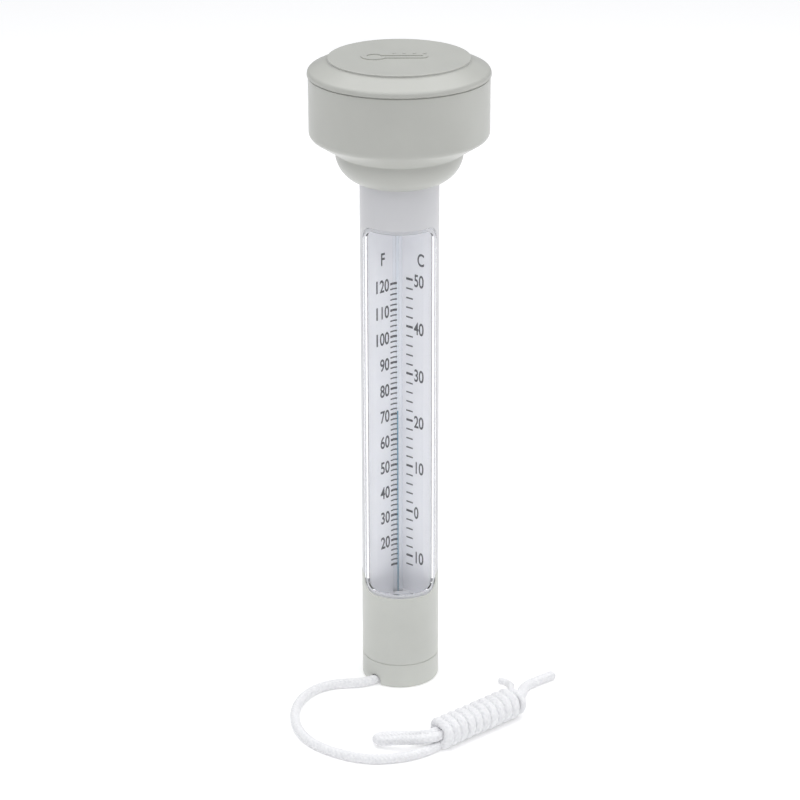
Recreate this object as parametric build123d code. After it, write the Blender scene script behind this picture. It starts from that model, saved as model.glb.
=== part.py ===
from build123d import *
from math import cos, pi, radians, sin, tan
import os

# A floating pool thermometer, standing upright on its end plug.
# Frame: the tube's axis is Z, the origin is at the centre of the base, -Y is the scale's side.
# All lengths are millimetres and all angles are degrees.

# ---- Driving dimensions ----
TOTAL_HEIGHT = 203.3
EMBLEM_HEIGHT = 0.3
DISC_TOP = TOTAL_HEIGHT - EMBLEM_HEIGHT

# Tube, lower cup and end plug
TUBE_R = 12.0
TUBE_WALL = 2.0
CUP_R = 12.1
PLUG_TOP = 8.0
CUP_TOP = 36.5
TUBE_TOP = 177.0
SPIGOT_BOTTOM = 13.5
FOOT_RECESS_R = 9.2
FOOT_RECESS_TOP = 5.0
GROOVE_R = 9.6
GROOVE_BOTTOM = 9.8
GROOVE_TOP = 11.4
KNOT_ROOM_R = 8.6
SLEEVE_BORE_R = TUBE_R - TUBE_WALL / 2
EDGE = 0.25
RIM_EDGE = 0.08

# Window
WINDOW_BOTTOM = 31.2
WINDOW_TOP = 152.7
WINDOW_HALF_ANGLE = 70.0
WINDOW_CORNER_R = 5.0
LEDGE = 1.2
LENS_GAP = 0.06

# Float head
DRUM_R = 27.0
BRIM_R = 27.35
SEAM_Z = 197.7
SHELL_WALL = 1.8
DISC_R = 21.3
STEP_HEIGHT = 0.7
BRIM_HEIGHT = 1.6
BRIM_CORNER_R = 1.4
SPIGOT_R = 25.0
SEAL_Z = SEAM_Z - 2.6
SEAL_SECTION_R = 0.78
COLLAR_R = 19.3
COLLAR_TOP = 174.6
COLLAR_BOTTOM = 165.3
SOCKET_R = 14.0
SOCKET_TOP = 178.6
TAPER_ANGLE = 33.0
DRUM_CORNER_R = 2.1

# Scale and capillary
SCALE_ZERO_F = 28.57
MM_PER_F = 0.859
REST_C = 22.0
PLATE_BOTTOM = 28.0
PLATE_TOP = 151.0
PLATE_THICKNESS = 0.9
PLATE_CREASE_Y = 4.0
FLANK_ANGLE = 40.0
FLANK_HALF_WIDTH = 7.0
WING_ANGLE = 25.0
WING_HALF_WIDTH = 9.2
CAPILLARY_X = -0.7
CAPILLARY_Y = 1.4
CAPILLARY_R = 1.5
BORE_R = 0.45
COLUMN_R = 0.4
COLUMN_BOTTOM = 25.8
MENISCUS_LENGTH = 1.2
BULB_R = 3.0
BULB_BOTTOM = 17.0
BULB_WALL = 0.7
GLASS_TOP = 153.5
HOLDER_R = TUBE_R - TUBE_WALL - 0.1
CUSHION_R = 2.6
CUSHION_BOTTOM = PLATE_TOP + 0.8
BULB_CUSHION_R = 4.2
BALLAST_BOTTOM = BULB_BOTTOM - 1.2
BALLAST_TOP = PLATE_BOTTOM - 3
STOP_HEIGHT = 1.2
CHAMBER_TOP = GLASS_TOP - 3
CHAMBER_R = 0.85

# Cord
CORD_D = 3.0
CORD_R = CORD_D / 2
TIE_D = 2.0
NOTCH_GAP = 0.45
NOTCH_AZIMUTH = 229.0
KNOT_Z = 7.2
HANK_START = (10.3, -51.1)
HANK_AZIMUTH = 41.3
HANK_LENGTH = 37.0
HANK_WIDTH = 3.6 * CORD_D
HANK_HEIGHT = 3 * CORD_D


# ---- Helpers ----
def revolved(outline, x=0.0, y=0.0):
    """Turn a closed outline of (radius, height) points about a vertical axis through x, y."""
    edges = Polyline(*outline, close=True)
    return Pos(x, y, 0) * revolve(Plane.XZ * make_face(edges), Axis.Z)


def ring(inner, outer, low, high):
    """A plain ring, or a disc where inner is 0."""
    return revolved([(inner, low), (outer, low), (outer, high), (inner, high)])


def rod(radius, low, high, x=0.0, y=0.0):
    return Pos(x, y, low) * extrude(Circle(radius), high - low)


def o_ring(centre_r, section_r, z):
    return Pos(0, 0, z) * Torus(centre_r, section_r)


def window_block(inner, outer, low, high, half_angle, corner):
    """A sector of a ring on the -Y side, its four radial edges rounded."""
    near, far = 8.0, 14.0
    face = Plane.XZ * make_face(Polyline((near, low), (far, low), (far, high), (near, high), close=True))
    block = Rot(0, 0, -90 - half_angle) * revolve(face, Axis.Z, 2 * half_angle)
    radial = [e for e in block.edges().filter_by(GeomType.LINE) if abs(e.length - (far - near)) < 0.01]
    return fillet(radial, corner) & ring(inner, outer, low - 1, high + 1)


def temperature_height(celsius):
    """Height of a reading on the scale."""
    return SCALE_ZERO_F + MM_PER_F * (celsius * 1.8 + 32)


def arc_points(centre, radius, start, end, count):
    """Points on a circle from the start angle to the end angle, both included."""
    angles = [radians(start + (end - start) * i / count) for i in range(count + 1)]
    return [(centre[0] + radius * cos(a), centre[1] + radius * sin(a)) for a in angles]


# ---- Float head ----
def float_cap():
    """Lid of the float: a raised disc, a sloping shoulder, a brim and a spigot with a seal groove."""
    brim_edge = (BRIM_R, SEAM_Z + 0.25)
    under = DISC_TOP - SHELL_WALL
    groove_r = SPIGOT_R - 2 * SEAL_SECTION_R + 0.01
    groove_top, groove_bottom = SEAL_Z + 1.0, SEAL_Z - 1.0
    with BuildSketch(Plane.XZ) as half:
        with BuildLine():
            FilletPolyline((0, DISC_TOP), (DISC_R, DISC_TOP), (DISC_R - 0.15, DISC_TOP - STEP_HEIGHT),
                           (BRIM_R - 0.2, SEAM_Z + BRIM_HEIGHT), brim_edge, radius=[0.25, 0.2, BRIM_CORNER_R])
            Polyline(brim_edge, (BRIM_R - 0.45, SEAM_Z), (SPIGOT_R, SEAM_Z), (SPIGOT_R, groove_top),
                     (groove_r, groove_top), (groove_r, groove_bottom), (SPIGOT_R, groove_bottom),
                     (SPIGOT_R, SEAM_Z - 6), (SPIGOT_R - 0.6, SEAM_Z - 6.6), (SPIGOT_R - 3, SEAM_Z - 6.6),
                     (SPIGOT_R - 3, under - 2.4), (DISC_R - 2, under), (0, under), (0, DISC_TOP))
        make_face()
    return revolve(half.sketch, Axis.Z)


def thermometer_emblem():
    """Low raised pictogram of a thermometer, moulded on the middle of the cap."""
    stem = SlotOverall(17, 4.2)
    bulb = Pos(-7.4, 0) * Circle(3.9)
    bore = Pos(0.6, 0) * SlotOverall(13, 1.5) + Pos(-7.4, 0) * Circle(2.2)
    marks = [Pos(x, 3.6) * RectangleRounded(0.9, 2.0, 0.3) for x in (-1.5, 1.5, 4.5, 7.5)]
    outline = stem + bulb - bore
    for mark in marks:
        outline += mark
    return Pos(0, 0, DISC_TOP) * extrude(outline, EMBLEM_HEIGHT)


def float_bowl():
    """Open drum, tapering to the collar that the tube is welded into."""
    slope = tan(radians(TAPER_ANGLE))
    corner_z = COLLAR_TOP + (DRUM_R - COLLAR_R) * slope
    tangent = DRUM_CORNER_R * tan(radians((90 - TAPER_ANGLE) / 2))
    taper = Vector(cos(radians(TAPER_ANGLE)), sin(radians(TAPER_ANGLE)))
    taper_start = (DRUM_R - tangent * taper.X, corner_z - tangent * taper.Y)
    inside_r = DRUM_R - SHELL_WALL
    collar_mid = (COLLAR_R - 1.9, COLLAR_BOTTOM + 3.6)
    with BuildSketch(Plane.XZ) as half:
        with BuildLine():
            Polyline((inside_r, SEAM_Z), (DRUM_R - 0.35, SEAM_Z), (DRUM_R, SEAM_Z - 0.35),
                     (DRUM_R, corner_z + tangent))
            RadiusArc((DRUM_R, corner_z + tangent), taper_start, DRUM_CORNER_R)
            Polyline(taper_start, (COLLAR_R + 0.2, COLLAR_TOP + 0.1), (COLLAR_R, COLLAR_TOP - 0.2))
            ThreePointArc((COLLAR_R, COLLAR_TOP - 0.2), collar_mid, (TUBE_R + 0.3, COLLAR_BOTTOM))
            Polyline((TUBE_R + 0.3, COLLAR_BOTTOM), (TUBE_R, COLLAR_BOTTOM + 0.2), (TUBE_R, SOCKET_TOP),
                     (SOCKET_R, SOCKET_TOP), (SOCKET_R, COLLAR_BOTTOM + 3.4),
                     (COLLAR_R - 2.6, COLLAR_TOP - 2.2), (COLLAR_R - 1.6, COLLAR_TOP + 1.0),
                     (inside_r - 2.2, corner_z - 0.6),
                     (inside_r, corner_z + 1.2), (inside_r, SEAM_Z))
        make_face()
    return revolve(half.sketch, Axis.Z)


# ---- Tube and window ----
def opening_cutters():
    """The stepped window opening: a full-size outer part and a smaller part behind the ledge."""
    ledge_r = TUBE_R - TUBE_WALL / 2
    ledge_angle = LEDGE / ledge_r * 180 / pi
    outer = window_block(ledge_r, CUP_R + 1, WINDOW_BOTTOM, WINDOW_TOP, WINDOW_HALF_ANGLE, WINDOW_CORNER_R)
    inner = window_block(TUBE_R - TUBE_WALL - 1, ledge_r, WINDOW_BOTTOM + LEDGE, WINDOW_TOP - LEDGE,
                         WINDOW_HALF_ANGLE - ledge_angle, WINDOW_CORNER_R - LEDGE)
    return outer, inner


def stem_tube(outer_cut, inner_cut):
    """Main tube, with a thinner spigot at its foot that the lower cup slides over."""
    inside = TUBE_R - TUBE_WALL
    ledge_r = TUBE_R - TUBE_WALL / 2
    body = revolved([(inside, SPIGOT_BOTTOM), (ledge_r, SPIGOT_BOTTOM), (ledge_r, CUP_TOP), (TUBE_R, CUP_TOP),
                     (TUBE_R, TUBE_TOP), (inside, TUBE_TOP)])
    return body - outer_cut - inner_cut


def window_lens():
    """Clear cover: a full-size rim on the ledge and a thicker middle that fills the smaller opening."""
    ledge_r = TUBE_R - TUBE_WALL / 2
    gap_angle = LENS_GAP / TUBE_R * 180 / pi
    ledge_angle = LEDGE / ledge_r * 180 / pi
    rim = window_block(ledge_r, TUBE_R, WINDOW_BOTTOM + LENS_GAP, WINDOW_TOP - LENS_GAP,
                       WINDOW_HALF_ANGLE - gap_angle, WINDOW_CORNER_R - LENS_GAP)
    outer_edges = [e for e in rim.edges() if e.center().Y < 0 and is_at_radius(e, TUBE_R)]
    rim = fillet(outer_edges, 0.5)
    middle = window_block(TUBE_R - TUBE_WALL, ledge_r, WINDOW_BOTTOM + LEDGE + LENS_GAP,
                          WINDOW_TOP - LEDGE - LENS_GAP, WINDOW_HALF_ANGLE - ledge_angle - gap_angle,
                          WINDOW_CORNER_R - LEDGE - LENS_GAP)
    return rim + middle


def is_at_radius(edge, radius):
    """True where both the ends and the middle of an edge lie at this distance from the tube's axis."""
    points = [edge @ 0, edge @ 0.5, edge @ 1]
    return all(abs((p.X ** 2 + p.Y ** 2) ** 0.5 - radius) < 0.01 for p in points)


def stem_bung():
    """Closes the top of the tube, so that the float's air stays apart from the scale chamber."""
    inside = TUBE_R - TUBE_WALL
    flange_r = TUBE_R - 0.1
    flange_top = TUBE_TOP + 1.4
    low = TUBE_TOP - 6
    return revolved([(0, low), (inside - 0.4, low), (inside, low + 0.6), (inside, TUBE_TOP),
                     (flange_r, TUBE_TOP), (flange_r, flange_top), (0, flange_top)])


# ---- Scale and glass ----
def scale_plate():
    """Folded plate: two flanks meet at a crease behind the glass, and a flatter wing ends each side."""
    flank_drop = FLANK_HALF_WIDTH * tan(radians(FLANK_ANGLE))
    wing_drop = flank_drop + (WING_HALF_WIDTH - FLANK_HALF_WIDTH) * tan(radians(WING_ANGLE))
    front = [(-WING_HALF_WIDTH, PLATE_CREASE_Y - wing_drop), (-FLANK_HALF_WIDTH, PLATE_CREASE_Y - flank_drop),
             (0, PLATE_CREASE_Y), (FLANK_HALF_WIDTH, PLATE_CREASE_Y - flank_drop),
             (WING_HALF_WIDTH, PLATE_CREASE_Y - wing_drop)]
    back = [(x, y + PLATE_THICKNESS / cos(radians(FLANK_ANGLE))) for x, y in reversed(front)]
    section = make_face(Polyline(*front, *back, close=True))
    return Pos(0, 0, PLATE_BOTTOM) * extrude(section, PLATE_TOP - PLATE_BOTTOM)


def bulb_outline(radius, bottom, neck_r, neck_z):
    """Half outline of a round-ended bulb, from its lowest point up to its neck."""
    lower = arc_points((0, bottom + radius), radius, -90, 0, 6)
    return lower + [(radius, bottom + radius + 2.8), (neck_r, neck_z)]


def about_glass(outline):
    """Turn a closed outline about the capillary's own axis."""
    return revolved(outline, CAPILLARY_X, CAPILLARY_Y)


def glass_rod(radius, low, high):
    return rod(radius, low, high, CAPILLARY_X, CAPILLARY_Y)


def capillary_glass():
    """Thick-walled tube with a bulb at its foot and a small safety chamber at its top."""
    outer = bulb_outline(BULB_R, BULB_BOTTOM, CAPILLARY_R, COLUMN_BOTTOM + 0.4)
    outer += arc_points((0, GLASS_TOP - CAPILLARY_R), CAPILLARY_R, 0, 90, 6)
    cavity = bulb_outline(BULB_R - BULB_WALL, BULB_BOTTOM + BULB_WALL, BORE_R, COLUMN_BOTTOM)
    cavity += [(BORE_R, CHAMBER_TOP - 3.5), (CHAMBER_R, CHAMBER_TOP - 2.6), (CHAMBER_R, CHAMBER_TOP - 0.6),
               (0, CHAMBER_TOP)]
    return about_glass(outer) - about_glass(cavity)


def bulb_spirit():
    """Dyed spirit that fills the bulb."""
    wall = BULB_WALL + 0.05
    fill = bulb_outline(BULB_R - wall, BULB_BOTTOM + wall, COLUMN_R, COLUMN_BOTTOM)
    return about_glass(fill + [(0, COLUMN_BOTTOM)])


def spirit_column():
    """The part of the dyed thread that grows and shrinks."""
    return glass_rod(COLUMN_R, COLUMN_BOTTOM, temperature_height(REST_C) - MENISCUS_LENGTH)


def spirit_meniscus():
    """The end of the thread, which travels along the bore."""
    top = temperature_height(REST_C)
    thread = glass_rod(COLUMN_R, top - MENISCUS_LENGTH, top)
    return fillet(thread.edges().group_by(Axis.Z)[-1], COLUMN_R * 0.6)


def upper_holder():
    """Disc above the window that locates the plate's top and the glass."""
    body = ring(0, HOLDER_R, PLATE_TOP, PLATE_TOP + 4)
    body -= glass_rod(CAPILLARY_R + 0.05, PLATE_TOP - 1, CUSHION_BOTTOM)
    return body - glass_rod(CUSHION_R, CUSHION_BOTTOM, PLATE_TOP + 5)


def glass_cushion():
    """Soft cap on the glass's upper end."""
    cap = glass_rod(CUSHION_R, CUSHION_BOTTOM, PLATE_TOP + 4.6)
    return cap - glass_rod(CAPILLARY_R, PLATE_TOP, GLASS_TOP)


def lower_holder():
    """Disc above the ballast that the plate stands on, with a small stop in front of the glass."""
    neck_r = CAPILLARY_R + 0.1
    shoulder_r = BULB_R + 0.15
    body = ring(0, HOLDER_R, BALLAST_TOP, PLATE_BOTTOM)
    body -= about_glass([(0, BALLAST_TOP - 1), (shoulder_r, BALLAST_TOP - 1), (shoulder_r, BALLAST_TOP + 0.2),
                         (neck_r, PLATE_BOTTOM - 1.4), (neck_r, PLATE_BOTTOM + 1), (0, PLATE_BOTTOM + 1)])
    stop = Pos(0, CAPILLARY_Y - 3.4, PLATE_BOTTOM + STOP_HEIGHT / 2) * Box(3.6, 2.2, STOP_HEIGHT)
    return body + fillet(stop.edges().filter_by(Axis.Z), 0.5)


def bulb_cushion():
    """Rubber cup that the bulb sits in."""
    cup_top = BALLAST_BOTTOM + 8.6
    pocket_r = BULB_R + 0.05
    pocket = arc_points((0, BULB_BOTTOM + BULB_R), pocket_r, -90, 0, 6) + [(pocket_r, cup_top)]
    outside = [(0, BALLAST_BOTTOM), (BULB_CUSHION_R, BALLAST_BOTTOM), (BULB_CUSHION_R, cup_top)]
    return about_glass(outside + pocket[::-1])


# ---- Foot ----
def ballast():
    """Steel ring that keeps the thermometer upright in the water."""
    body = ring(0, HOLDER_R - 0.1, BALLAST_BOTTOM, BALLAST_TOP)
    body = chamfer(body.edges().filter_by(GeomType.CIRCLE), 0.6)
    return body - glass_rod(BULB_CUSHION_R + 0.05, BALLAST_BOTTOM - 1, PLATE_BOTTOM)


def sealing_bung():
    """Rubber disc between the dry chamber and the cord's knot."""
    return ring(0, TUBE_R - TUBE_WALL, SPIGOT_BOTTOM, BALLAST_BOTTOM)


def lower_cup(outer_cut, inner_cut):
    """Sleeve round the tube's foot, its rim cut back by the window."""
    body = revolved([(SLEEVE_BORE_R, PLUG_TOP), (CUP_R - EDGE, PLUG_TOP), (CUP_R, PLUG_TOP + EDGE),
                     (CUP_R, CUP_TOP - RIM_EDGE), (CUP_R - RIM_EDGE, CUP_TOP), (SLEEVE_BORE_R, CUP_TOP)])
    return body - outer_cut - inner_cut


def end_plug():
    """Plug with a hollow foot, a hole for the cord, a notch that lets it out sideways and a sealed spigot."""
    spigot_r = SLEEVE_BORE_R - 0.03
    spigot_top = SPIGOT_BOTTOM - 0.3
    body = revolved([(KNOT_ROOM_R, KNOT_Z), (KNOT_ROOM_R, spigot_top), (spigot_r - 0.4, spigot_top),
                     (spigot_r, spigot_top - 0.4), (spigot_r, GROOVE_TOP), (GROOVE_R, GROOVE_TOP),
                     (GROOVE_R, GROOVE_BOTTOM), (spigot_r, GROOVE_BOTTOM), (spigot_r, PLUG_TOP),
                     (CUP_R - EDGE, PLUG_TOP), (CUP_R, PLUG_TOP - EDGE), (CUP_R, 0.7), (CUP_R - 0.2, 0.2),
                     (CUP_R - 0.7, 0), (FOOT_RECESS_R, 0), (FOOT_RECESS_R, FOOT_RECESS_TOP),
                     (0, FOOT_RECESS_TOP), (0, KNOT_Z)])
    body -= rod(CORD_R + 0.15, FOOT_RECESS_TOP - 1, PLUG_TOP)
    return body - cord_notch()


def cord_notch():
    """Arched cutter through the plug's wall, a little wider than the cord and open at the bottom."""
    notch_r = CORD_R + NOTCH_GAP
    outward = Vector(1, 0, 0).rotate(Axis.Z, NOTCH_AZIMUTH)
    side = Plane(origin=(0, 0, CORD_R), x_dir=Vector(0, 0, 1).cross(outward), z_dir=outward)
    arch = Circle(notch_r) + Pos(0, -notch_r) * Rectangle(2 * notch_r, 2 * notch_r)
    return side * Pos(0, 0, FOOT_RECESS_R - 1.2) * extrude(arch, 6)


# ---- Cord ----
CORD_ROUTE = [
    (0, 0, 7.2), (0, 0, 4.0), (-1.7, -1.95, 1.5), (-5.6, -6.6, 1.5), (-9.2, -9.8, 1.5), (-14.0, -11.5, 1.5),
    (-20.0, -11.6, 1.5), (-26.4, -14.6, 1.5), (-31.0, -21.0, 1.5), (-33.3, -30.6, 1.5), (-31.9, -41.6, 1.5),
    (-27.2, -50.2, 1.5), (-19.4, -56.4, 1.5), (-10.4, -60.2, 1.5), (-1.0, -59.6, 1.5), (6.2, -56.4, 1.5),
    (11.36, -52.3, 1.5)]

BIGHT_ROUTE = [
    (10.96, -51.85, 4.5), (8.0, -53.4, 4.7), (4.6, -52.9, 4.1), (1.0, -51.9, 3.4), (-2.6, -51.3, 2.9),
    (-5.5, -51.0, 2.6), (-7.2, -49.5, 2.2), (-7.2, -47.4, 1.8), (-5.6, -45.9, 1.5), (-3.2, -45.6, 1.5),
    (0.2, -45.7, 1.5), (3.8, -46.9, 2.2), (6.9, -49.5, 3.9), (9.64, -50.35, 4.9)]

END_ROUTE = [
    (36.5, -27.4, 4.6), (38.2, -24.6, 4.5), (38.4, -20.4, 3.4), (38.7, -16.2, 1.9), (40.8, -12.4, 1.5),
    (44.6, -9.4, 1.5), (49.2, -5.9, 1.5)]

TIE_ROUTE = [
    (34.4, -27.3, 7.0), (34.6, -23.0, 6.2), (35.0, -18.6, 4.3), (34.9, -14.0, 2.2), (34.4, -11.0, 1.1),
    (33.0, -9.2, 1.0), (31.2, -9.0, 1.0)]


def corner_radii(route):
    """Arc radius at each corner: 0.45 of the shorter run, divided by the tangent of half the turn."""
    points = [Vector(*p) for p in route]
    radii = []
    for before, here, after in zip(points, points[1:], points[2:]):
        runs = (here - before, after - here)
        half_turn = radians(runs[0].get_angle(runs[1])) / 2
        radii.append(0.45 * min(runs[0].length, runs[1].length) / tan(half_turn))
    return radii


def cord_tube(name, route, diameter=CORD_D):
    """A round cord along straight runs joined by tangent arcs."""
    radii = corner_radii(route)
    path = FilletPolyline(*route, radius=radii)
    section = Plane(origin=path @ 0, z_dir=path % 0) * Circle(diameter / 2)
    tube = sweep(section, path=path)
    expected = pi * diameter ** 2 / 4 * path.length
    print(name, "length %.1f" % path.length, "radii", ["%.1f" % r for r in radii],
          "volume / expected %.4f" % (tube.volume / expected))
    return tube


def cord_knot():
    """Stopper knot above the plug's hole: three turns of cord, one on another."""
    outline = [(0, KNOT_Z)]
    for turn in range(3):
        outline += arc_points((2.3, KNOT_Z + 1.0 + 1.9 * turn), 1.3, -50, 50, 4)
    return revolved(outline + [(0, KNOT_Z + 5.8)])


def cord_hank():
    """Outer shape of the wound part of the cord: a flattened bundle, rounded at its ends."""
    direction = (cos(radians(HANK_AZIMUTH)), sin(radians(HANK_AZIMUTH)), 0)
    start = Plane(origin=(HANK_START[0], HANK_START[1], HANK_HEIGHT / 2),
                  x_dir=(-direction[1], direction[0], 0), z_dir=direction)
    bundle = extrude(start * SlotOverall(HANK_WIDTH, HANK_HEIGHT), HANK_LENGTH)
    far_end = bundle.faces().sort_by(Axis((0, 0, 0), direction))[-1]
    return fillet(far_end.edges(), 1.2)


def build():
    outer_cut, inner_cut = opening_cutters()
    return {
        "float_cap": float_cap() + thermometer_emblem(),
        "float_seal": o_ring(SPIGOT_R - 0.75, SEAL_SECTION_R, SEAL_Z),
        "float_bowl": float_bowl(),
        "stem_bung": stem_bung(),
        "stem_tube": stem_tube(outer_cut, inner_cut),
        "window_lens": window_lens(),
        "scale_plate": scale_plate(),
        "capillary_glass": capillary_glass(),
        "bulb_spirit": bulb_spirit(),
        "spirit_column": spirit_column(),
        "spirit_meniscus": spirit_meniscus(),
        "upper_holder": upper_holder(),
        "glass_cushion": glass_cushion(),
        "lower_holder": lower_holder(),
        "bulb_cushion": bulb_cushion(),
        "ballast": ballast(),
        "sealing_bung": sealing_bung(),
        "lower_cup": lower_cup(outer_cut, inner_cut),
        "plug_seal": o_ring(GROOVE_R + 0.7, 0.7, (GROOVE_BOTTOM + GROOVE_TOP) / 2),
        "end_plug": end_plug(),
        "cord_knot": cord_knot(),
        "cord": cord_tube("cord", CORD_ROUTE),
        "cord_hank": cord_hank(),
        "cord_bight": cord_tube("cord_bight", BIGHT_ROUTE),
        "cord_end": cord_tube("cord_end", END_ROUTE),
        "hank_tie": cord_tube("hank_tie", TIE_ROUTE, TIE_D),
    }


if __name__ == "__main__":
    os.makedirs("parts", exist_ok=True)
    for node, solid in build().items():
        export_step(solid, "parts/" + node + ".step")
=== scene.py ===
import math

import bmesh
import bpy
import numpy as np
from mathutils import Matrix, Vector
from mathutils.bvhtree import BVHTree


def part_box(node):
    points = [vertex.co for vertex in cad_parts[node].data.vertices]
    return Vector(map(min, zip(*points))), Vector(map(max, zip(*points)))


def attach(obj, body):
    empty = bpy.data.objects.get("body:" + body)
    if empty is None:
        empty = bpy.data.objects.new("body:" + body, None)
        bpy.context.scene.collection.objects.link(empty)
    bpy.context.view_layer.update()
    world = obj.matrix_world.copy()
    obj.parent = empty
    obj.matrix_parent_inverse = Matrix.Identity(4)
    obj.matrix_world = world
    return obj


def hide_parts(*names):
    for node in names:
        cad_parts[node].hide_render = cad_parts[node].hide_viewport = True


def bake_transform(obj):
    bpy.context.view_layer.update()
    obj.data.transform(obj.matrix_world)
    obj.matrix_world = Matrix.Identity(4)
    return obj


MM = 0.001
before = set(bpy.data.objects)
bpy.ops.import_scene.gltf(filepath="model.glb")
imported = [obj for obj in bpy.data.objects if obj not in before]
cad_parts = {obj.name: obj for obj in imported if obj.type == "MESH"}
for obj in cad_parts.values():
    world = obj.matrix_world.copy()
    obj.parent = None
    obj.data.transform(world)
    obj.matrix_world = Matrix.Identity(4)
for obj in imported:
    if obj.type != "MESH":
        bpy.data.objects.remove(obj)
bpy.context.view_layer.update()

# ---------------------------------------------------------------- camera, light and floor

CAMERA_LENS = 121.5
CAMERA_PLACE = (0.00003, -0.7742, 0.4076)
CAMERA_PITCH = 22.05
CAMERA_ROLL = -0.12


def make_camera():
    data = bpy.data.cameras.new("camera")
    data.lens = CAMERA_LENS
    data.sensor_width = 36
    data.clip_start = 0.01
    camera = bpy.data.objects.new("camera", data)
    camera.location = CAMERA_PLACE
    tilt = Matrix.Rotation(math.radians(90 - CAMERA_PITCH), 4, "X")
    roll = Matrix.Rotation(math.radians(CAMERA_ROLL), 4, "Z")
    camera.matrix_world = Matrix.Translation(CAMERA_PLACE) @ tilt @ roll
    bpy.context.collection.objects.link(camera)
    bpy.context.scene.camera = camera


def area_light(name, place, aim, size, power, colour=(1, 1, 1)):
    data = bpy.data.lights.new(name, "AREA")
    data.shape = "RECTANGLE"
    data.size, data.size_y = size
    data.energy = power
    data.color = colour
    light = bpy.data.objects.new(name, data)
    light.location = place
    light.rotation_euler = (Vector(aim) - Vector(place)).to_track_quat("-Z", "Y").to_euler()
    bpy.context.collection.objects.link(light)


def make_studio():
    world = bpy.data.worlds.new("studio")
    bpy.context.scene.world = world
    world.use_nodes = True
    world.node_tree.nodes["Background"].inputs["Color"].default_value = (0.93, 0.95, 1.0, 1)
    world.node_tree.nodes["Background"].inputs["Strength"].default_value = 0.25
    middle = (0, 0, 0.1)
    area_light("top", (0, -0.1, 1.3), (0, 0, 0), (2.4, 2.4), 30)
    area_light("left", (-0.75, 0.05, 0.3), middle, (0.5, 0.7), 0.1)
    area_light("right", (0.75, 0.1, 0.12), middle, (0.5, 0.5), 0.7)
    scene = bpy.context.scene
    scene.view_settings.view_transform = "Standard"
    scene.view_settings.look = "None"


def make_floor():
    bpy.ops.mesh.primitive_plane_add(size=8, location=(0, 0, 0))
    floor = bpy.context.object
    floor.name = "floor"
    material = new_material("floor_paper")
    shader = shader_of(material)
    shader.inputs["Base Color"].default_value = (0.93, 0.93, 0.93, 1)
    shader.inputs["Roughness"].default_value = 0.9
    shader.inputs["Emission Color"].default_value = (1, 1, 1, 1)
    shader.inputs["Emission Strength"].default_value = 0.2
    floor.data.materials.append(material)


# ---------------------------------------------------------------- material helpers


def new_material(name):
    material = bpy.data.materials.new(name)
    material.use_nodes = True
    return material


def shader_of(material):
    return material.node_tree.nodes["Principled BSDF"]


def add_node(material, kind, **values):
    node = material.node_tree.nodes.new(kind)
    for name, value in values.items():
        if name in node.inputs:
            node.inputs[name].default_value = value
        else:
            setattr(node, name, value)
    return node


def wire(material, source, target):
    material.node_tree.links.new(source, target)


def noise(material, scale, detail=3.0, roughness=0.5, stretch=(1, 1, 1)):
    """A noise texture in object space, its features stretched along the axes."""
    place = add_node(material, "ShaderNodeTexCoord")
    mapping = add_node(material, "ShaderNodeMapping")
    mapping.inputs["Scale"].default_value = stretch
    texture = add_node(material, "ShaderNodeTexNoise")
    texture.inputs["Scale"].default_value = scale
    texture.inputs["Detail"].default_value = detail
    texture.inputs["Roughness"].default_value = roughness
    wire(material, place.outputs["Object"], mapping.inputs["Vector"])
    wire(material, mapping.outputs["Vector"], texture.inputs["Vector"])
    return texture.outputs["Fac"]


def ramp(material, source, stops):
    """A colour ramp on a source between 0 and 1; stops are (position, colour)."""
    node = add_node(material, "ShaderNodeValToRGB")
    elements = node.color_ramp.elements
    while len(elements) < len(stops):
        elements.new(0.5)
    for element, (position, colour) in zip(elements, stops):
        element.position = position
        element.color = (*colour, 1)
    wire(material, source, node.inputs["Fac"])
    return node.outputs["Color"]


def to_range(material, source, low, high):
    node = add_node(material, "ShaderNodeMapRange")
    node.inputs["To Min"].default_value = low
    node.inputs["To Max"].default_value = high
    wire(material, source, node.inputs["Value"])
    return node.outputs["Result"]


def bump(material, source, strength, distance):
    node = add_node(material, "ShaderNodeBump")
    node.inputs["Strength"].default_value = strength
    node.inputs["Distance"].default_value = distance
    wire(material, source, node.inputs["Height"])
    wire(material, node.outputs["Normal"], shader_of(material).inputs["Normal"])


def scaled(colour, factor):
    return tuple(min(1.0, c * factor) for c in colour)


def moulded_plastic(name, colour, roughness, coat=0.0):
    """Injection-moulded plastic: faint cloudy colour, fine spark texture and uneven gloss."""
    material = new_material(name)
    shader = shader_of(material)
    cloud = noise(material, 60, 4)
    colours = ramp(material, cloud, [(0.3, scaled(colour, 0.965)), (0.7, scaled(colour, 1.02))])
    wire(material, colours, shader.inputs["Base Color"])
    gloss = noise(material, 240, 3)
    wire(material, to_range(material, gloss, roughness - 0.05, roughness + 0.07), shader.inputs["Roughness"])
    shader.inputs["Coat Weight"].default_value = coat
    shader.inputs["Coat Roughness"].default_value = 0.2
    shader.inputs["Subsurface Weight"].default_value = 0.06
    shader.inputs["Subsurface Radius"].default_value = (0.0012, 0.0012, 0.001)
    shader.inputs["Subsurface Scale"].default_value = 1.0
    bump(material, noise(material, 2600, 2), 0.12, 0.00005)
    return material


FLOAT_GREY = (0.49, 0.495, 0.462)
CUP_GREY = (0.61, 0.62, 0.58)
STEM_WHITE = (0.66, 0.66, 0.68)


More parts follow.
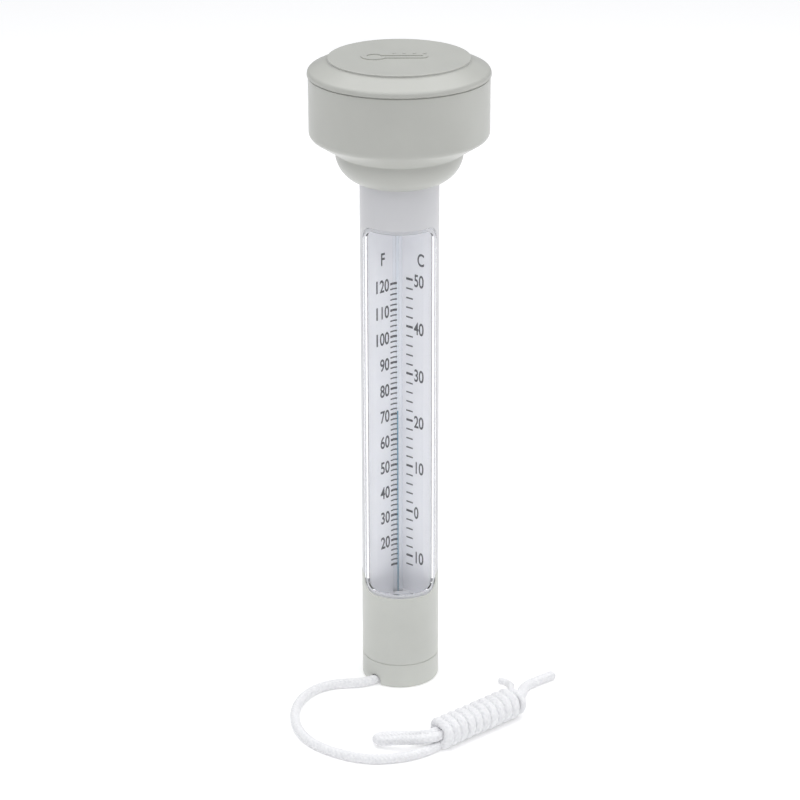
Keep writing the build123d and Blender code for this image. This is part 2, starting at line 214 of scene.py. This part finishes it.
def let_light_through(material):
    """Shadow and diffuse rays pass straight through, so that what lies behind is lit."""
    path = add_node(material, "ShaderNodeLightPath")
    either = add_node(material, "ShaderNodeMath", operation="MAXIMUM")
    clear = add_node(material, "ShaderNodeBsdfTransparent")
    mix = add_node(material, "ShaderNodeMixShader")
    wire(material, path.outputs["Is Shadow Ray"], either.inputs[0])
    wire(material, path.outputs["Is Diffuse Ray"], either.inputs[1])
    wire(material, either.outputs[0], mix.inputs[0])
    wire(material, shader_of(material).outputs[0], mix.inputs[1])
    wire(material, clear.outputs[0], mix.inputs[2])
    wire(material, mix.outputs[0], material.node_tree.nodes["Material Output"].inputs["Surface"])


def clear_plastic():
    material = new_material("clear_polystyrene")
    shader = shader_of(material)
    shader.inputs["Base Color"].default_value = (0.97, 0.98, 1.0, 1)
    shader.inputs["Transmission Weight"].default_value = 1.0
    shader.inputs["IOR"].default_value = 1.45
    haze = noise(material, 300, 3)
    wire(material, to_range(material, haze, 0.0, 0.05), shader.inputs["Roughness"])
    bump(material, noise(material, 45, 2, stretch=(1, 1, 0.3)), 0.05, 0.0002)
    let_light_through(material)
    return material


def clear_glass():
    material = new_material("capillary_glass")
    shader = shader_of(material)
    shader.inputs["Base Color"].default_value = (0.96, 0.98, 0.99, 1)
    shader.inputs["Transmission Weight"].default_value = 1.0
    shader.inputs["IOR"].default_value = 1.1
    streak = noise(material, 500, 2, stretch=(1, 1, 0.05))
    wire(material, to_range(material, streak, 0.0, 0.04), shader.inputs["Roughness"])
    let_light_through(material)
    return material


def dyed_spirit():
    material = new_material("blue_spirit")
    shader = shader_of(material)
    depth = noise(material, 150, 2)
    colours = ramp(material, depth, [(0.35, (0.05, 0.20, 0.31)), (0.65, (0.08, 0.28, 0.40))])
    wire(material, colours, shader.inputs["Base Color"])
    shader.inputs["Roughness"].default_value = 0.1
    return material


def scale_ink():
    """Dark printing ink, slightly worn."""
    material = new_material("scale_ink")
    wear = noise(material, 900, 4)
    colours = ramp(material, wear, [(0.35, (0.035, 0.035, 0.045)), (0.75, (0.075, 0.075, 0.085))])
    wire(material, colours, shader_of(material).inputs["Base Color"])
    shader_of(material).inputs["Roughness"].default_value = 0.55
    return material


def seal_rubber():
    material = new_material("seal_rubber")
    shader = shader_of(material)
    dust = noise(material, 900, 4)
    colours = ramp(material, dust, [(0.4, (0.02, 0.02, 0.022)), (0.8, (0.05, 0.05, 0.052))])
    wire(material, colours, shader.inputs["Base Color"])
    shader.inputs["Roughness"].default_value = 0.7
    bump(material, noise(material, 3000, 2), 0.3, 0.0001)
    return material


def ballast_steel():
    material = new_material("zinc_steel")
    shader = shader_of(material)
    spangle = noise(material, 500, 4)
    colours = ramp(material, spangle, [(0.3, (0.45, 0.46, 0.47)), (0.7, (0.6, 0.61, 0.62))])
    wire(material, colours, shader.inputs["Base Color"])
    shader.inputs["Metallic"].default_value = 1.0
    wire(material, to_range(material, spangle, 0.3, 0.5), shader.inputs["Roughness"])
    return material


def braid_material():
    """White braided yarn: fine filaments along the strands, with soft sheen."""
    material = new_material("white_braid")
    shader = shader_of(material)
    fibre = noise(material, 1400, 3, stretch=(1, 1, 0.4))
    colours = ramp(material, fibre, [(0.3, (0.84, 0.84, 0.86)), (0.7, (0.94, 0.94, 0.95))])
    wire(material, colours, shader.inputs["Base Color"])
    shader.inputs["Roughness"].default_value = 0.75
    shader.inputs["Sheen Weight"].default_value = 0.3
    shader.inputs["Sheen Roughness"].default_value = 0.4
    shader.inputs["Subsurface Weight"].default_value = 0.15
    shader.inputs["Subsurface Radius"].default_value = (0.001, 0.001, 0.001)
    shader.inputs["Subsurface Scale"].default_value = 1.0
    bump(material, noise(material, 5000, 2), 0.25, 0.0001)
    return material


# ---------------------------------------------------------------- cord

CORD_D = 3.0
TIE_D = 2.0
CORD_ROUTE = [
    (0, 0, 7.2), (0, 0, 4.0), (-1.7, -1.95, 1.5), (-5.6, -6.6, 1.5), (-9.2, -9.8, 1.5), (-14.0, -11.5, 1.5),
    (-20.0, -11.6, 1.5), (-26.4, -14.6, 1.5), (-31.0, -21.0, 1.5), (-33.3, -30.6, 1.5), (-31.9, -41.6, 1.5),
    (-27.2, -50.2, 1.5), (-19.4, -56.4, 1.5), (-10.4, -60.2, 1.5), (-1.0, -59.6, 1.5), (6.2, -56.4, 1.5),
    (11.36, -52.3, 1.5)]
BIGHT_ROUTE = [
    (10.96, -51.85, 4.5), (8.0, -53.4, 4.7), (4.6, -52.9, 4.1), (1.0, -51.9, 3.4), (-2.6, -51.3, 2.9),
    (-5.5, -51.0, 2.6), (-7.2, -49.5, 2.2), (-7.2, -47.4, 1.8), (-5.6, -45.9, 1.5), (-3.2, -45.6, 1.5),
    (0.2, -45.7, 1.5), (3.8, -46.9, 2.2), (6.9, -49.5, 3.9), (9.64, -50.35, 4.9)]
END_ROUTE = [
    (36.5, -27.4, 4.6), (38.2, -24.6, 4.5), (38.4, -20.4, 3.4), (38.7, -16.2, 1.9), (40.8, -12.4, 1.5),
    (44.6, -9.4, 1.5), (49.2, -5.9, 1.5)]
TIE_ROUTE = [
    (34.4, -27.3, 7.0), (34.6, -23.0, 6.2), (35.0, -18.6, 4.3), (34.9, -14.0, 2.2), (34.4, -11.0, 1.1),
    (33.0, -9.2, 1.0), (31.2, -9.0, 1.0)]

HANK_START = Vector((10.3, -51.1, 4.5))
HANK_AZIMUTH = math.radians(41.3)
HANK_ALONG = Vector((math.cos(HANK_AZIMUTH), math.sin(HANK_AZIMUTH), 0))
HANK_ACROSS = Vector((-math.sin(HANK_AZIMUTH), math.cos(HANK_AZIMUTH), 0))
# The hank's turns are round at its near and far sides and flat over its top and bottom.
WRAP_FLAT = 0.9
WRAP_RADIUS = 3.06
WRAP_RISE = 3.02
WRAP_PITCH = 3.08
WRAP_TURNS = 9.75
WRAP_FIRST = 1.6
TIE_FIRST = 33.0
TIE_TURNS = 0.8
TIE_PITCH = 1.0
POINTS_PER_TURN = 14


def hank_point(along, across, up):
    """A point of the hank, from its place along its axis, across it and above its middle."""
    return tuple(HANK_START + HANK_ALONG * along + HANK_ACROSS * across + Vector((0, 0, up)))


def turns_round_hank(first, turns, start_angle=-90.0, pitch=WRAP_PITCH):
    """Control points of turns round the hank: they climb its near side and advance to the right."""
    points = []
    count = round(turns * POINTS_PER_TURN)
    for i in range(count + 1):
        turn = i / POINTS_PER_TURN
        angle = math.radians(start_angle) - 2 * math.pi * turn
        radius = WRAP_RADIUS + 0.1 * math.sin(2.3 * turn) + 0.07 * math.sin(5.1 * turn + 1)
        flat = math.copysign(WRAP_FLAT, math.cos(angle)) * min(1.0, 3 * abs(math.cos(angle)))
        across = flat + radius * math.cos(angle)
        points.append(hank_point(first + pitch * turn, across, WRAP_RISE * math.sin(angle)))
    return points


def core_to_left():
    """From the last turn into the core at the right end, and along the core to the left end."""
    turn_in = [hank_point(34.6, 1.2, 1.2), hank_point(35.4, -0.6, 0.4)]
    return turn_in + [hank_point(s, -1.1, -0.2) for s in (33.0, 24.0, 14.0, 5.0)]


def core_to_right():
    """Along the core from the left end back to the right end."""
    return [hank_point(s, 1.1, 0.3) for s in (5.5, 14.5, 24.5, 32.0)]


def spline_points(name, points):
    """The points of the NURBS line that has these control points, in metres."""
    curve = bpy.data.curves.new(name, "CURVE")
    curve.dimensions = "3D"
    curve.resolution_u = 8
    spline = curve.splines.new("NURBS")
    spline.points.add(len(points) - 1)
    for point, place in zip(spline.points, points):
        point.co = (place[0] * MM, place[1] * MM, place[2] * MM, 1)
    spline.order_u = 3
    spline.use_endpoint_u = True
    holder = bpy.data.objects.new(name, curve)
    bpy.context.collection.objects.link(holder)
    bpy.context.view_layer.update()
    mesh = bpy.data.meshes.new_from_object(holder)
    line = np.array([v.co for v in mesh.vertices])
    bpy.data.objects.remove(holder)
    return line


def evenly_spaced(line, step):
    """The same line with its points about a step apart, and its length."""
    runs = np.linalg.norm(np.diff(line, axis=0), axis=1)
    walked = np.concatenate([[0], np.cumsum(runs)])
    places = np.linspace(0, walked[-1], max(2, round(walked[-1] / step)) + 1)
    return np.stack([np.interp(places, walked, line[:, axis]) for axis in range(3)], axis=1), walked[-1]


def carried_frames(line):
    """Two normals at each point of a line, carried along it with no twist."""
    directions = np.gradient(line, axis=0)
    directions /= np.linalg.norm(directions, axis=1)[:, None]
    normal = np.cross(directions[0], (0.3, 0.5, 0.8))
    normals = []
    for direction in directions:
        normal = normal - direction * normal.dot(direction)
        normal = normal / np.linalg.norm(normal)
        normals.append(normal)
    normals = np.array(normals)
    return normals, np.cross(directions, normals)


# The braid's pitch, the depth of its grooves and the rise of its crowns are parts of the cord's diameter.
BRAID_CARRIERS = 8
BRAID_PITCH = 3.8
CELL_SAMPLES = 4
BRAID_DEPTH = 0.073
BRAID_OVER = 0.013
BRAID_AROUND = BRAID_CARRIERS * CELL_SAMPLES


def braid_height(u, v):
    """Height of a two-over-two braid, from 0 in a groove to 1 on a crown; u and v count its strands."""
    cell = (np.floor(u) + np.floor(v)) % 4
    first_over = cell < 2
    across = np.where(first_over, u % 1, v % 1)
    along = np.where(first_over, cell + v % 1, cell - 2 + u % 1) / 2
    crown = np.sqrt(np.clip(1 - (2 * across - 1) ** 2, 0, 1))
    arch = np.sqrt(np.clip(1 - (2 * along - 1) ** 2, 0, 1))
    return crown * (0.45 + 0.55 * arch)


def braid_faces(rows):
    """The diamonds between the braid's staggered rows, then a fringe of triangles and a cap at each end."""
    faces = []
    for r in range(rows - 2):
        shift = r % 2
        for j in range(BRAID_AROUND):
            right = (r + 1) * BRAID_AROUND + (j + shift) % BRAID_AROUND
            left = (r + 1) * BRAID_AROUND + (j + shift - 1) % BRAID_AROUND
            faces.append((r * BRAID_AROUND + j, right, (r + 2) * BRAID_AROUND + j, left))
    for r, inner in ((0, 1), (rows - 1, rows - 2)):
        rim = [r * BRAID_AROUND + j for j in range(BRAID_AROUND)]
        for j in range(BRAID_AROUND):
            beside = inner * BRAID_AROUND + (j + r % 2) % BRAID_AROUND
            faces.append((rim[j], rim[(j + 1) % BRAID_AROUND], beside))
        faces.append(tuple(rim))
    return faces


def braid_points(line, step, diameter):
    """The mesh points of a braided cord round a line: each row is turned half a step from the last."""
    normals, sides = carried_frames(line)
    rows = len(line)
    row = np.arange(rows)[:, None]
    column = 2 * np.arange(BRAID_AROUND)[None, :] + row % 2
    u = (column + row) / (2 * CELL_SAMPLES) + 1e-6
    v = (column - row) / (2 * CELL_SAMPLES) + 1e-6
    from_end = np.minimum(row, rows - 1 - row) * step / (diameter / 2)
    round_off = np.sqrt(1 - (1 - np.clip(from_end + 0.15, 0, 1)) ** 2)
    radius = diameter * (0.5 + BRAID_OVER - BRAID_DEPTH * (1 - braid_height(u, v))) * round_off
    angle = np.pi * column / BRAID_AROUND
    along_normal = normals[:, None] * (radius * np.cos(angle))[..., None]
    along_side = sides[:, None] * (radius * np.sin(angle))[..., None]
    return (line[:, None] + along_normal + along_side).reshape(-1, 3)


def braided_tube(name, control_points, diameter):
    """A braided cord: a closed tube whose mesh runs with the braid's two sets of strands."""
    step = BRAID_PITCH * diameter / (2 * BRAID_AROUND)
    line, length = evenly_spaced(spline_points(name + "_line", control_points), step)
    mesh = bpy.data.meshes.new(name)
    mesh.from_pydata(braid_points(line, step, diameter).tolist(), [], braid_faces(len(line)))
    shell = bmesh.new()
    shell.from_mesh(mesh)
    bmesh.ops.recalc_face_normals(shell, faces=shell.faces)
    shell.to_mesh(mesh)
    shell.free()
    mesh.polygons.foreach_set("use_smooth", [True] * len(mesh.polygons))
    tube = bpy.data.objects.new(name, mesh)
    bpy.context.collection.objects.link(tube)
    return tube, line, length


def make_cord(name, control_points, diameter, replaced, material):
    cord, line, length = braided_tube(name, control_points, diameter * MM)
    cord.data.materials.append(material)
    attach(cord, "body")
    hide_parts(*replaced)
    print(name, "length", round(length, 4))


def make_cords(material):
    main = CORD_ROUTE + turns_round_hank(WRAP_FIRST, WRAP_TURNS) + core_to_left()
    main += BIGHT_ROUTE + core_to_right() + END_ROUTE
    make_cord("braided_cord", main, CORD_D, ("cord", "cord_hank", "cord_bight", "cord_end"), material)
    tie = turns_round_hank(TIE_FIRST, TIE_TURNS, start_angle=-10.0, pitch=TIE_PITCH) + TIE_ROUTE
    make_cord("braided_tie", tie, TIE_D, ("hank_tie",), material)


# ---------------------------------------------------------------- printed scale and spirit

SCALE_ZERO_F = 28.57
MM_PER_F = 0.859
# Left and right ends of the tick marks and their thicknesses; the figures stand outside them.
TICKS_F = (-2.9, -0.95)
TICKS_C = (2.0, 4.0)
BOLD_TICK = 0.75
THIN_TICK = 0.46
FIGURE_SIZE = 5.6
FIGURE_WIDTH = 0.5
FIGURE_GAP = 0.35
UNIT_HEIGHT = 140.3
PRINT_LIFT = 0.04
THREAD_R = 0.2


def fahrenheit_height(fahrenheit):
    return SCALE_ZERO_F + MM_PER_F * fahrenheit


def add_tick(sheet, ends, height, thickness):
    """A flat upright bar of the printed scale, in millimetres."""
    low, high = height - thickness / 2, height + thickness / 2
    corners = [(ends[0], low), (ends[1], low), (ends[1], high), (ends[0], high)]
    sheet.faces.new([sheet.verts.new((x, 0, z)) for x, z in corners])


def add_figure(sheet, text, x, height, align):
    """A flat printed text with its middle at a height, its left or right end at x."""
    curve = bpy.data.curves.new("figure", "FONT")
    curve.body = text
    curve.size = FIGURE_SIZE
    curve.align_x = align
    curve.align_y = "CENTER"
    curve.offset = 0.09
    holder = bpy.data.objects.new("figure", curve)
    bpy.context.collection.objects.link(holder)
    bpy.context.view_layer.update()
    mesh = bpy.data.meshes.new_from_object(holder)
    bpy.data.objects.remove(holder)
    middle = (min(v.co.y for v in mesh.vertices) + max(v.co.y for v in mesh.vertices)) / 2
    for vertex in mesh.vertices:
        vertex.co = (x + FIGURE_WIDTH * vertex.co.x, 0, height + vertex.co.y - middle)
    sheet.from_mesh(mesh)


def flat_scale():
    """The whole printed scale as flat shapes in the XZ plane, in millimetres."""
    sheet = bmesh.new()
    for reading in range(10, 121, 2):
        thickness = BOLD_TICK if reading % 10 == 0 else THIN_TICK
        add_tick(sheet, TICKS_F, fahrenheit_height(reading), thickness)
    for reading in range(-12, 51, 2):
        thickness = BOLD_TICK if reading % 10 == 0 else THIN_TICK
        add_tick(sheet, TICKS_C, fahrenheit_height(reading * 1.8 + 32), thickness)
    for reading in range(20, 121, 10):
        add_figure(sheet, str(reading), TICKS_F[0] - FIGURE_GAP, fahrenheit_height(reading), "RIGHT")
    for reading in range(-10, 51, 10):
        height = fahrenheit_height(reading * 1.8 + 32)
        add_figure(sheet, str(abs(reading)), TICKS_C[1] + FIGURE_GAP, height, "LEFT")
    add_figure(sheet, "F", TICKS_F[0] - 1.55, UNIT_HEIGHT, "RIGHT")
    add_figure(sheet, "C", TICKS_C[1] + 1.3, UNIT_HEIGHT, "LEFT")
    return sheet


def print_scale():
    """Folds the flat scale onto the plate's front: it is cut at each crease and dropped on the plate."""
    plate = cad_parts["scale_plate"]
    surface = BVHTree.FromObject(plate, bpy.context.evaluated_depsgraph_get())
    place = plate.matrix_world
    sheet = flat_scale()
    bmesh.ops.scale(sheet, vec=(MM, MM, MM), verts=sheet.verts)
    creases = sorted({round((place @ vertex.co).x, 5) for vertex in plate.data.vertices})
    for crease in creases:
        everything = sheet.verts[:] + sheet.edges[:] + sheet.faces[:]
        bmesh.ops.bisect_plane(sheet, geom=everything, plane_co=(crease, 0, 0), plane_no=(1, 0, 0))
    inverse = place.inverted()
    for vertex in sheet.verts:
        start = inverse @ Vector((vertex.co.x, -0.02, vertex.co.z))
        hit = place @ surface.ray_cast(start, (0, 1, 0))[0]
        vertex.co.y = hit.y - PRINT_LIFT * MM
    mesh = bpy.data.meshes.new("printed_scale")
    sheet.to_mesh(mesh)
    sheet.free()
    printed = bpy.data.objects.new("printed_scale", mesh)
    bpy.context.collection.objects.link(printed)
    printed.data.materials.append(scale_ink())
    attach(printed, "body")


def spirit_rod(name, node, rings, material):
    """A ringed rod as thin as the real thread, on the axis and over the height of a CAD node."""
    low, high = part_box(node)
    middle = ((low[0] + high[0]) / 2, (low[1] + high[1]) / 2)
    radius = THREAD_R * MM
    sides = 16
    points = []
    for ring in range(rings + 1):
        z = low[2] + (high[2] - low[2]) * ring / rings
        for side in range(sides):
            angle = 2 * math.pi * side / sides
            points.append((middle[0] + radius * math.cos(angle), middle[1] + radius * math.sin(angle), z))
    faces = [tuple(range(sides))[::-1], tuple(rings * sides + side for side in range(sides))]
    for ring in range(rings):
        for side in range(sides):
            after = (side + 1) % sides
            base = ring * sides
            faces.append((base + side, base + after, base + sides + after, base + sides + side))
    mesh = bpy.data.meshes.new(name)
    mesh.from_pydata(points, [], faces)
    mesh.polygons.foreach_set("use_smooth", [len(face) == 4 for face in faces])
    rod = bpy.data.objects.new(name, mesh)
    bpy.context.collection.objects.link(rod)
    rod.data.materials.append(material)
    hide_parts(node)
    return rod, (*middle, low[2]), (*middle, high[2])


def make_spirit(material):
    """The thread is a fixed rod, and its last millimetre is a rod of its own that rides with the tip."""
    thread, foot, head = spirit_rod("spirit_thread", "spirit_column", 40, material)
    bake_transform(thread)
    tip = spirit_rod("spirit_thread_tip", "spirit_meniscus", 1, material)[0]
    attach(tip, "spirit_tip")


# ---------------------------------------------------------------- CAD nodes


def finish_nodes(braid):
    """Gives every CAD node its material and puts the thin spirit thread in the capillary."""
    float_grey = moulded_plastic("float_grey", FLOAT_GREY, 0.36, 0.15)
    cup_grey = moulded_plastic("cup_grey", CUP_GREY, 0.38, 0.1)
    stem_white = moulded_plastic("stem_white", STEM_WHITE, 0.35, 0.15)
    plate_white = moulded_plastic("plate_white", (0.91, 0.91, 0.94), 0.5)
    clear = clear_plastic()
    glass = clear_glass()
    spirit = dyed_spirit()
    rubber = seal_rubber()
    steel = ballast_steel()
    finishes = {
        "float_cap": float_grey, "float_bowl": float_grey, "lower_cup": cup_grey, "end_plug": cup_grey,
        "stem_tube": stem_white, "stem_bung": stem_white, "upper_holder": stem_white,
        "lower_holder": stem_white, "scale_plate": plate_white, "window_lens": clear,
        "capillary_glass": glass, "bulb_spirit": spirit, "spirit_column": spirit, "spirit_meniscus": spirit,
        "float_seal": rubber, "glass_cushion": rubber, "bulb_cushion": rubber, "sealing_bung": rubber,
        "plug_seal": rubber, "ballast": steel, "cord_knot": braid, "cord": braid, "cord_hank": braid,
        "cord_bight": braid, "cord_end": braid, "hank_tie": braid}
    for node, material in finishes.items():
        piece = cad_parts[node]
        piece.data.materials.clear()
        piece.data.materials.append(material)
    make_spirit(spirit)


make_camera()
make_studio()
make_floor()
white_braid = braid_material()
make_cords(white_braid)
finish_nodes(white_braid)
print_scale()
